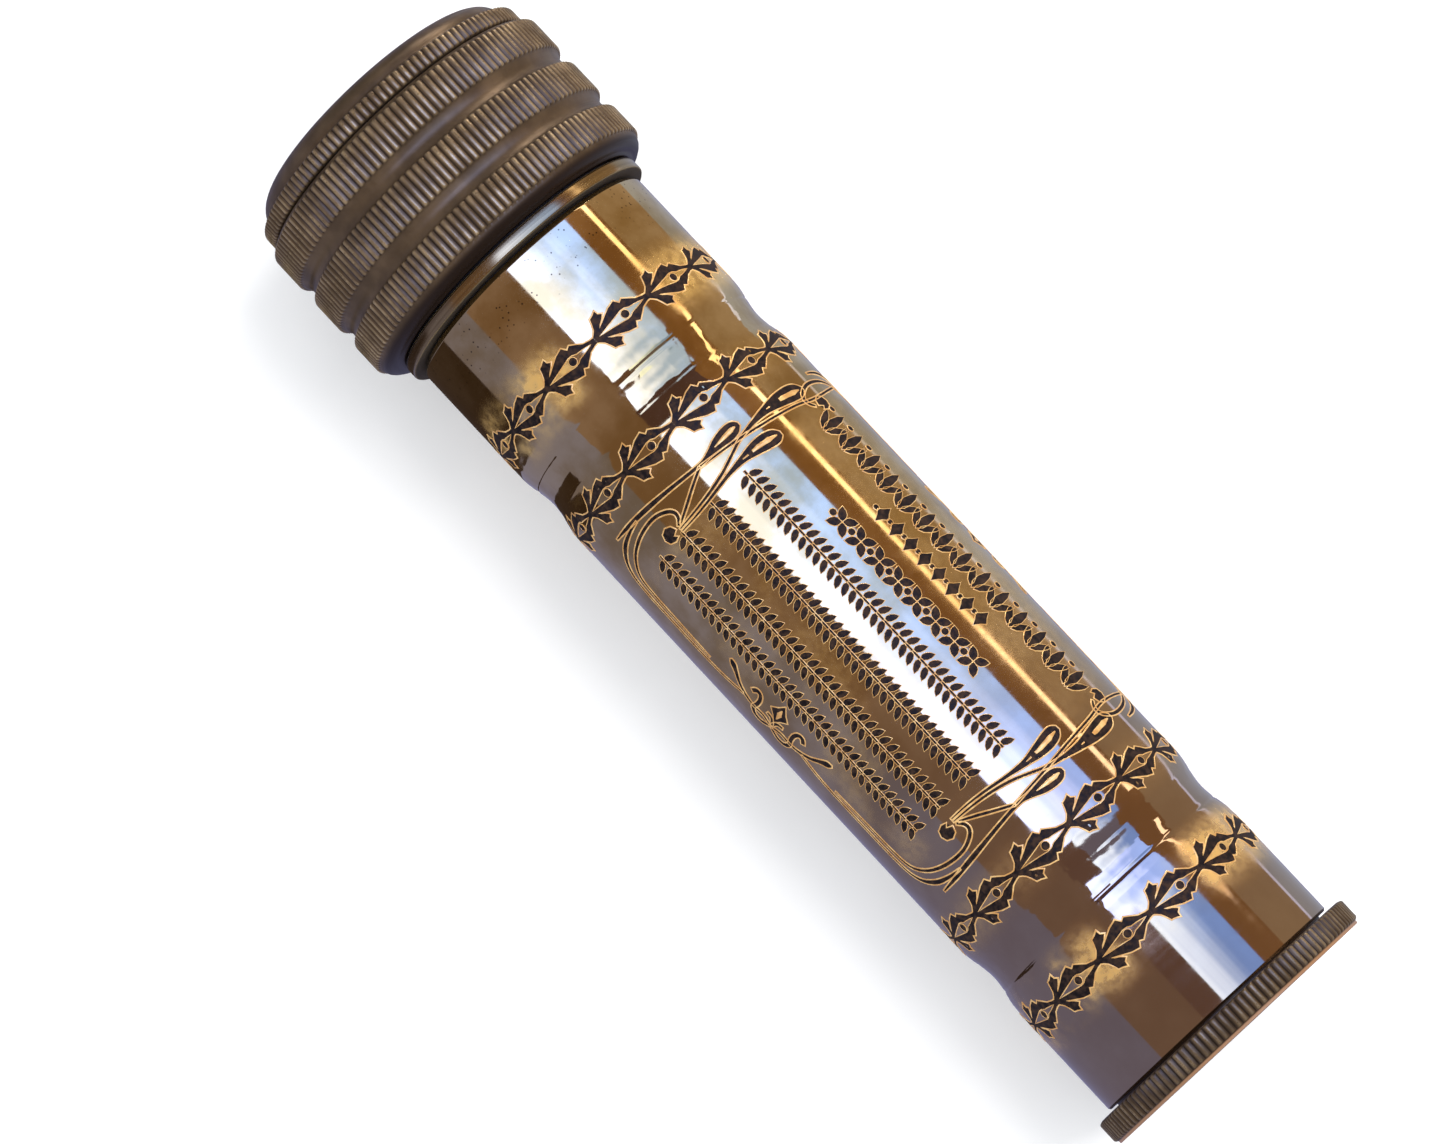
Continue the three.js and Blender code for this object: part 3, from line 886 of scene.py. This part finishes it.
# The flowing lines of the panel's corners, as (distance from the panel's middle station, arc,
# half width). Buds on long stems rise from the two lower corners only.
BUD_STROKES = [
    # outer bud, and its stem down the side of the panel
    [(30.3, 6.6, 0.25), (30.35, 5.9, 0.85), (30.3, 4.7, 1.05), (30.2, 3.0, 0.85), (29.9, 1.2, 0.42),
     (29.7, -0.4, 0.24), (29.9, -3.0, 0.22), (30.3, -6.8, 0.26), (30.6, -10.0, 0.32),
     (30.9, -14.0, 0.26), (31.0, -17.4, 0.08)],
    # tall bud, and its tail down to the scroll
    [(29.0, 18.4, 0.3), (29.1, 17.4, 1.0), (29.3, 15.8, 1.2), (29.5, 13.4, 1.0), (29.5, 10.6, 0.55),
     (29.2, 7.8, 0.26), (28.7, 5.3, 0.18), (27.9, 3.2, 0.17), (26.9, 0.5, 0.18),
     (26.2, -2.6, 0.18), (25.8, -5.6, 0.17), (25.6, -8.4, 0.12)],
    # middle bud and its tail
    [(25.9, 10.1, 0.3), (26.0, 9.3, 0.95), (26.3, 7.8, 1.12), (26.5, 5.9, 0.9), (26.5, 3.6, 0.45),
     (26.2, 0.8, 0.22), (25.7, -2.4, 0.18), (25.4, -5.4, 0.16), (25.3, -8.4, 0.12)],
    # line from the upper frame, over the tails, to the outer stem
    [(27.4, 27.0, 0.14), (27.0, 19.6, 0.14), (27.6, 15.2, 0.15), (28.0, 11.8, 0.15),
     (28.4, 8.3, 0.15), (28.8, 5.4, 0.15), (29.2, 1.9, 0.15), (29.5, -0.8, 0.15)],
    # short cross line from the stem to the scroll
    [(29.5, -1.0, 0.15), (28.3, -3.4, 0.17), (27.2, -5.5, 0.18), (26.1, -7.8, 0.12)],
]
# The bright strips left standing inside the buds. The third value stretches STRIP's width.
BUD_STRIPS = [
    [(30.35, 6.0, 0.3), (30.35, 5.3, 1.1), (30.25, 4.0, 1.0), (30.1, 2.2, 0.2)],
    [(29.1, 17.6, 0.3), (29.2, 16.4, 1.3), (29.45, 14.2, 1.1), (29.55, 11.0, 0.2)],
    [(26.05, 9.5, 0.3), (26.25, 8.2, 1.2), (26.45, 6.4, 1.0), (26.5, 3.8, 0.2)],
]
SCROLL_STROKES = [
    # scroll arm, down into the frame line
    [(26.1, -8.3, 0.14), (26.8, -7.6, 0.22), (27.7, -7.5, 0.24), (28.5, -8.3, 0.24),
     (29.1, -10.0, 0.22), (29.1, -12.2, 0.22), (28.6, -14.8, 0.22), (27.5, -17.4, 0.2),
     (25.6, -19.4, 0.18), (22.6, -20.0, 0.15), (18.0, -20.2, 0.12), (12.0, -20.4, 0.08)],
    # outer corner line
    [(30.5, -12.6, 0.08), (30.2, -15.0, 0.22), (29.4, -17.6, 0.32), (27.6, -19.9, 0.22),
     (24.6, -21.0, 0.16), (18.0, -21.3, 0.15), (10.0, -21.2, 0.15), (5.6, -20.4, 0.13)],
]
# The outline of the ball that ends a scroll, and where its middle is.
SCROLL_BALL_PLACE = (26.0, -10.1)
SCROLL_BALL = [(0.0, 1.1), (0.75, 0.8), (1.1, 0.0), (0.75, -0.85), (0.0, -1.15), (-0.75, -0.85),
               (-1.05, 0.0), (-0.85, 0.7), (-0.4, 0.2)]

# The clasp at the middle of each long side: one half.
CLASP_STROKES = [
    [(4.8, -18.3, 0.3), (4.3, -17.6, 0.34), (3.6, -17.7, 0.3), (3.2, -18.6, 0.28),
     (3.2, -19.8, 0.28), (3.4, -21.0, 0.3), (2.8, -22.0, 0.3), (1.6, -22.2, 0.28), (0.1, -21.3, 0.2)],
    [(0.1, -21.2, 0.16), (1.6, -20.6, 0.2), (3.4, -20.7, 0.2), (5.0, -20.3, 0.22),
     (6.6, -19.4, 0.24), (8.0, -18.1, 0.32), (8.9, -17.4, 0.45), (9.5, -17.0, 0.15)],
    [(1.4, -19.3, 0.2), (0.5, -19.6, 0.22), (0.0, -20.8, 0.2)],
]
# The lozenge on it: arc, half width and half height.
CLASP_DIAMOND = (-17.7, 1.5, 2.0)


def mirrored(points, flip_along, flip_round):
    """Panel points carried to one of its four quarters, as stations and arcs."""
    placed = []
    for along, arc, *rest in points:
        if flip_round < 0:
            arc = 2 * PANEL_MIDDLE_ARC - arc
        placed.append((PANEL_MIDDLE + flip_along * along, arc, *rest))
    return placed


def draw_panel(drawing):
    """The frame of scrolls, buds and clasps."""
    ball_x, ball_arc = SCROLL_BALL_PLACE
    ball = [(ball_x + x, ball_arc + y) for x, y in SCROLL_BALL]
    for flip_along in (1, -1):
        for stroke in BUD_STROKES:
            drawing.stroke(mirrored(stroke, flip_along, 1))
        for strip in BUD_STRIPS:
            drawing.ridge(mirrored(strip, flip_along, 1), False, 1.0, STRIP)
        for flip_round in (1, -1):
            for stroke in SCROLL_STROKES + CLASP_STROKES:
                drawing.stroke(mirrored(stroke, flip_along, flip_round))
            drawing.shape(mirrored(ball, flip_along, flip_round))
    arc, half_width, half_height = CLASP_DIAMOND
    for flip_round in (1, -1):
        ((station, placed_arc),) = mirrored([(0.0, arc)], 1, flip_round)
        drawing.diamond(station, placed_arc, half_width, half_height, 1.0)
        tip = half_height * 0.55
        strip = [(placed_arc + tip, 0.2), (placed_arc, 1.4), (placed_arc - tip, 0.2)]
        drawing.ridge([(station, *point) for point in strip], False, 1.0, STRIP)


def draw_palmette(drawing, station, arc):
    """A tall palmette and a dot."""
    drawing.leaf(station, arc - 2.8, 5.6, 1.3, 90)
    for side in (1, -1):
        drawing.leaf(station + side * 0.4, arc - 2.7, 3.9, 1.05, 90 - side * 24)
    drawing.dot(station + 1.7, arc + 1.9, 0.46)


def draw_lozenge(drawing, station, arc):
    drawing.diamond(station, arc, 1.0, 1.65)
    drawing.dot(station + 1.3, arc, 0.4)


def draw_flower(drawing, station, arc):
    """Four petals round a small gap, and a dot."""
    gap = 0.12
    for angle in (45, 135, 225, 315):
        turn = math.radians(angle)
        drawing.leaf(station + gap * math.cos(turn), arc + gap * math.sin(turn), 2.05, 1.2, angle)
    drawing.dot(station + 1.75, arc, 0.5)


def draw_laurel(drawing, station, arc):
    """A pair of leaning leaves."""
    for side in (1, -1):
        drawing.leaf(station, arc + side * 0.1, 1.95, 0.92, side * 118, 0.4)


# The rows of plain ornament inside the panel: what repeats, its pitch, the row's ends, its arc.
ROWS = [
    (draw_palmette, 3.4, 45.6, 94.4, 18.5),
    (draw_lozenge, 2.6, 59.5, 80.5, 13.1),
    (draw_flower, 3.5, 55.5, 83.5, 7.8),
    *[(draw_laurel, 1.35, 46.6, 95.0, arc) for arc in (2.9, -3.0, -8.6, -13.6)],
]


def draw_rows(drawing):
    """Each row is spread evenly from end to end. Laurel has a thin stem."""
    for draw, pitch, start, end, arc in ROWS:
        if draw == draw_laurel:
            drawing.stroke([(start, arc, 0.13), (end, arc, 0.13)], int(end - start), 0.5)
        count = round((end - start) / pitch)
        for index in range(count):
            draw(drawing, start + (end - start) * (index + 0.5) / count, arc)


# ---- engraving: wrapping it round

# How far the engraving's middle line is turned from the upright, towards -Y.
ENGRAVING_TURN = math.radians(-6.5)
# The width of the strips that the dark shapes are cut into.
BEND_STEP = 1.0
# How many times wider than its profile a ridge may get on the outside of a corner.
LONGEST_MITRE = 1.6


def on_skin(station, arc, height):
    angle = arc / TUBE_RADIUS + ENGRAVING_TURN
    return on_ring(skin_radius(station) + height, station, angle)


def wrapped_fills(drawing):
    """The dark shapes, cut into strips narrow enough to bend, made solid and bent round."""
    work = drawing.fills
    bmesh.ops.triangulate(work, faces=[face for face in work.faces if len(face.verts) > 4])
    arcs = [vertex.co.y for vertex in work.verts]
    cut_at = math.floor(min(arcs)) + BEND_STEP
    while cut_at < max(arcs):
        geometry = work.verts[:] + work.edges[:] + work.faces[:]
        bmesh.ops.bisect_plane(
            work, geom=geometry, dist=1e-5, plane_co=(0, cut_at, 0), plane_no=(0, 1, 0)
        )
        cut_at += BEND_STEP
    raised = bmesh.ops.extrude_face_region(work, geom=work.faces[:], use_keep_orig=True)
    for item in raised["geom"]:
        if isinstance(item, bmesh.types.BMVert):
            item.co.z = FILL_TOP
    for vertex in work.verts:
        vertex.co = on_skin(*vertex.co)
    bmesh.ops.recalc_face_normals(work, faces=work.faces)
    mesh = bpy.data.meshes.new("tube_engraving")
    return show_mesh("tube_engraving", work, mesh, sharp_angle=35)


def ridge_rails(line, closed, profile):
    """The rails of a low ridge that follows a line, from its right side to its left."""
    sharpest, hairpin = 0.3, 0.1
    rails = []
    for index, (x, y, *width) in enumerate(line):
        here = Vector((x, y))
        before = here - Vector(line[index - 1][:2])
        after = Vector(line[(index + 1) % len(line)][:2]) - here
        if not closed and index == 0:
            before = after
        if not closed and index == len(line) - 1:
            after = before
        before.normalize()
        after.normalize()
        run = (before + after).normalized() if (before + after).length > hairpin else before
        side = Vector((-run.y, run.x))
        mitre = min(LONGEST_MITRE, 1 / max(sharpest, side.dot(Vector((-before.y, before.x)))))
        mitre *= width[0] if width else 1
        rails.append([(*(here + side * across * mitre), up) for across, up in profile])
    return rails


def wrapped_ridges(drawing):
    """The bright burrs, each a solid ridge bent round the skin."""
    points, faces = [], []
    for line, closed, profile in drawing.ridges:
        rails = ridge_rails(line, closed, profile)
        first, count, width = len(points), len(rails), len(profile)
        for row in rails:
            points += [on_skin(*point) for point in row]
        for index in range(count if closed else count - 1):
            here = first + width * index
            there = first + width * ((index + 1) % count)
            for rail in range(width):
                other = (rail + 1) % width
                faces.append((here + rail, here + other, there + other, there + rail))
        if not closed:
            last = first + width * (count - 1)
            faces.append(tuple(range(first, first + width)))
            faces.append(tuple(range(last, last + width)))
    return make_object("tube_engraving_burrs", points, faces, sharp_angle=70)


def build_engraving():
    """All the shapes are drawn flat first, then wrapped round the tube as two pieces."""
    drawing = Drawing()
    for station, first_berry in VINES:
        draw_vine(drawing, station, first_berry)
    draw_panel(drawing)
    draw_rows(drawing)
    burrs = wrapped_ridges(drawing)
    fills = wrapped_fills(drawing)
    for piece, finish in ((fills, ETCHED), (burrs, BURNISHED)):
        piece.data.materials.append(finish)
        install(piece, "tube_body", "polished_brass")


# ---- camera

CAMERA_DISTANCE = 0.740
CAMERA_STATION = -1.0
CAMERA_LEAN = math.radians(6.49)
CAMERA_SWING = math.radians(6.99)
AIM_OFFSET = 0.01095
LENS = 141.76
# Where the tube points in the picture, from the head to the eyepiece: right, then down.
PICTURE_RIGHT, PICTURE_DOWN = 0.6833, 0.7301


def place_camera():
    """Above the eyepiece end, a little towards +Y, looking along the tube's slope in the picture."""
    outward = Vector((0, math.sin(CAMERA_LEAN), math.cos(CAMERA_LEAN)))
    across = Vector((0, -math.cos(CAMERA_LEAN), math.sin(CAMERA_LEAN)))
    back = outward * math.cos(CAMERA_SWING) - Vector((1, 0, 0)) * math.sin(CAMERA_SWING)
    back = (back + across * AIM_OFFSET).normalized()
    across = (across - back * across.dot(back)).normalized()
    along = across.cross(back) * -1
    right = -along * PICTURE_RIGHT + across * PICTURE_DOWN
    up = along * PICTURE_DOWN + across * PICTURE_RIGHT
    foot = Vector((CAD_LOW.x + CAMERA_STATION * MM, 0, AXIS_HEIGHT))
    lens = bpy.data.cameras.new("camera")
    lens.lens = LENS
    lens.clip_start = 0.01
    lens.clip_end = 20
    camera = show("camera", lens)
    turn = Matrix((right.normalized(), up.normalized(), back)).transposed()
    camera.matrix_world = Matrix.Translation(foot + outward * CAMERA_DISTANCE) @ turn.to_4x4()
    bpy.context.scene.camera = camera


# ---- floor and light

SKY = (0.95, 0.97, 1.0)
SKY_STRENGTH = 0.95
# How often a tint comes and goes along a studio panel, in metres.
TINT_PERIOD = 0.11
WHITE_SKY, BLUE_SKY = (2.1, 2.9, 6.4), (0.72, 1.25, 3.5)
REAR_WHITE, REAR_BLUE = (2.1, 2.9, 4.7), (0.36, 0.68, 2.0)

# What the polished brass mirrors. Each panel's angles go round the axis, in degrees, from the
# camera towards -Y. Then come its ends along X and its distance, in metres, its colour, and in
# some a tint.
PANELS = [
    ("surround", -180, 180, -1.2, 1.2, 0.60, (0.24, 0.245, 0.42)),
    ("dark_table", -175, -94, 0.1, 0.2, 0.45, (0.05, 0.035, 0.03)),
    ("tan_wall", -58, -9, -0.5, 0.5, 0.42, (0.26, 0.185, 0.16)),
    ("front_shade", -12, 50, 0.16, 0.5, 0.36, (0.12, 0.08, 0.11)),
    ("window", -10, 50, -0.045, 0.16, 0.36, WHITE_SKY, BLUE_SKY),
    ("rear_window", 8, 52, -0.14, -0.045, 0.36, REAR_WHITE, REAR_BLUE),
    ("window_post", -12, 8, -0.3, -0.045, 0.37, (0.2, 0.13, 0.12)),
    ("brown_wall", 48, 76, -0.5, 0.5, 0.42, (0.3, 0.17, 0.09)),
    ("warm_lamp", 68.0, 72.5, -0.06, 0.5, 0.38, (3.0, 2.5, 2.1)),
    ("head_lamp", 81.0, 89.0, 0.27, 0.6, 0.36, (17.0, 16.2, 15.6)),
    ("gold_wall", 76, 122, -0.5, 0.5, 0.42, (0.4, 0.3, 0.22)),
    ("pale_wall", 122, 165, -0.5, 0.5, 0.42, (0.42, 0.46, 0.6)),
    ("pale_lamp", 119.5, 123, -0.5, 0.1, 0.38, (0.9, 1.0, 1.6)),
]


def floor_paint(s):
    """A near-white whose faint glow makes up for what it takes from the sky: no horizon shows."""
    grain = s.noise(60, 4)
    s.set(
        Base_Color=s.blend(s.fit(grain, 0.3, 0.7), (0.94, 0.94, 0.94), (0.96, 0.96, 0.96)),
        Roughness=0.9,
        Specular_IOR_Level=0.0,
        Emission_Color=SKY,
        Emission_Strength=0.045,
    )
    s.material.cycles.emission_sampling = "NONE"


def build_floor():
    """A pale floor, tipped so that both the head and the smaller eyepiece cap rest on it."""
    # The stations at which the head and the cap touch it.
    head_foot, cap_foot = HEAD_LANDS[0][0], 3.4
    head_x = CAD_LOW.x + head_foot * MM
    slope = (CAP_RADIUS - HEAD_RADIUS) / (head_foot - cap_foot)
    half = 12.0
    corners = ((-half, -half), (half, -half), (half, half), (-half, half))
    floor = make_object("floor", [(x, y, (x - head_x) * slope) for x, y in corners], [(0, 1, 2, 3)])
    floor.data.materials.append(painted("floor_paint", floor_paint))
    floor.visible_glossy = False


def panel_glow(s, colour, tint):
    """A plain glow, or one whose tint is strongest at the panel's end angle."""
    s.tree.nodes.remove(s.surface)
    glow = s.add("ShaderNodeEmission", {"Color": colour})
    if tint:
        wave = s.math("SINE", s.times(s.coordinate("X"), 2 * math.pi / TINT_PERIOD))
        blotch = s.times(s.noise(14, 3, s.stretched(0.3, 1)), 0.65)
        amount = s.plus(s.field("share"), s.plus(s.times(wave, 0.12), blotch))
        s.feed(glow.inputs["Color"], s.blend(s.fit(amount, 0.25, 1.2), colour, tint))
    s.tree.links.new(glow.outputs["Emission"], s.tree.nodes["Material Output"].inputs["Surface"])
    s.material.cycles.emission_sampling = "NONE"


def build_panel(name, start, end, rear, front, distance, colour, tint=None):
    """A curved studio panel that only polished surfaces see."""
    steps = max(2, int(abs(end - start) / 3))
    points, faces, share = [], [], []
    for step in range(steps + 1):
        angle = math.radians(start + (end - start) * step / steps) - CAMERA_LEAN
        for x in (rear, front):
            points.append((x, -distance * math.sin(angle), AXIS_HEIGHT + distance * math.cos(angle)))
            share.append(step / steps)
    for step in range(steps):
        faces.append((2 * step, 2 * step + 1, 2 * step + 3, 2 * step + 2))
    panel = make_object(name, points, faces)
    panel.data.attributes.new("share", "FLOAT", "POINT").data.foreach_set("value", share)
    panel.data.materials.append(painted(name, panel_glow, colour, tint))
    for kind in ("camera", "diffuse", "transmission", "shadow"):
        setattr(panel, "visible_" + kind, False)


def area_light(name, place, power, colour):
    """A softbox that lights the floor and the dull surfaces."""
    lamp = bpy.data.lights.new(name, "AREA")
    lamp.energy = power
    lamp.color = colour
    lamp.size = 0.9
    source = show(name, lamp)
    source.location = place
    source.rotation_mode = "QUATERNION"
    source.rotation_quaternion = (Vector(place) - AXIS).to_track_quat("Z", "Y")
    source.visible_glossy = False


def build_lights():
    """An even sky and two softboxes, none of which shows in the brass."""
    world = bpy.data.worlds.new("studio")
    world.use_nodes = True
    sky = world.node_tree.nodes["Background"]
    sky.inputs["Color"].default_value = (*SKY, 1)
    sky.inputs["Strength"].default_value = SKY_STRENGTH
    bpy.context.scene.world = world
    world.cycles_visibility.glossy = False
    area_light("key_softbox", (-0.1, -0.6, 0.9), 10.0, (1.0, 0.98, 0.95))
    area_light("fill_softbox", (-0.5, 0.6, 0.9), 4.5, SKY)
    bpy.context.scene.view_settings.view_transform = "Standard"


# ---- put it together

place_camera()
build_lights()
for panel in PANELS:
    build_panel(*panel)
build_floor()
finish_nodes()
build_tube()
build_engraving()
build_bush()
build_barrel()
build_bezel()
build_cap()
build_round("eye_glass", "eye_window", "tube_body")
build_round("eye_glass_ring", "eye_window_ring", "tube_body", bore=7.5)
build_round("inner_glass", "chamber_back_glass", "head")
build_round("chamber_wall", "chamber_ring", "head", bore=18.5)
build_round("ground_glass", "chamber_front_glass", "head")
build_charge()
